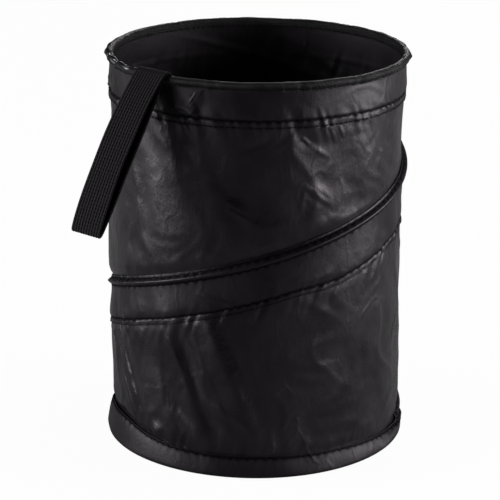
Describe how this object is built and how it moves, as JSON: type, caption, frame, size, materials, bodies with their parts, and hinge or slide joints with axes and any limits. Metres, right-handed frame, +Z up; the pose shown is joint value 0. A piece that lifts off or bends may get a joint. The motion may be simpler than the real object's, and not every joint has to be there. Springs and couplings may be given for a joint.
{
  "type": "pop-up car trash bin",
  "caption": "Collapsible cylindrical fabric bin on a spiral spring wire, open at the top, with a hanging loop of elastic webbing.",
  "frame": {"origin": "centre of the base panel's underside, on the floor", "axes": "+Z up through the open top, -Y the side that faces the camera, +X to the camera's right; the loop hangs at the front left"},
  "size_m": [0.175, 0.1839, 0.2124],
  "materials": {
    "shell_cloth": "black coated nylon, soft sheen, creased",
    "tape_cloth": "black coated nylon tape, stitched",
    "base_cloth": "black coated nylon over a stiff board",
    "binding_cloth": "black woven binding tape, matt",
    "elastic_webbing": "black ribbed elastic webbing",
    "spring_steel": "bright spring steel wire"
  },
  "bodies": {
    "base": {"base_panel": "base_cloth", "base_hem": "shell_cloth", "wall_panel": "shell_cloth", "helical_tape": "tape_cloth", "spring_wire": "spring_steel"},
    "rim": {"rim_binding": "binding_cloth", "rim_band": "tape_cloth", "hanging_loop": "elastic_webbing"}
  },
  "joints": [
    {"name": "collapse", "type": "slide", "parent": "base", "child": "rim", "axis": [0, 0, 1], "range_m": [-0.17, 0], "stiffness_N_per_m": 30, "springref_m": 0.05, "deforming": ["wall_panel", "helical_tape", "spring_wire"]}
  ]
}
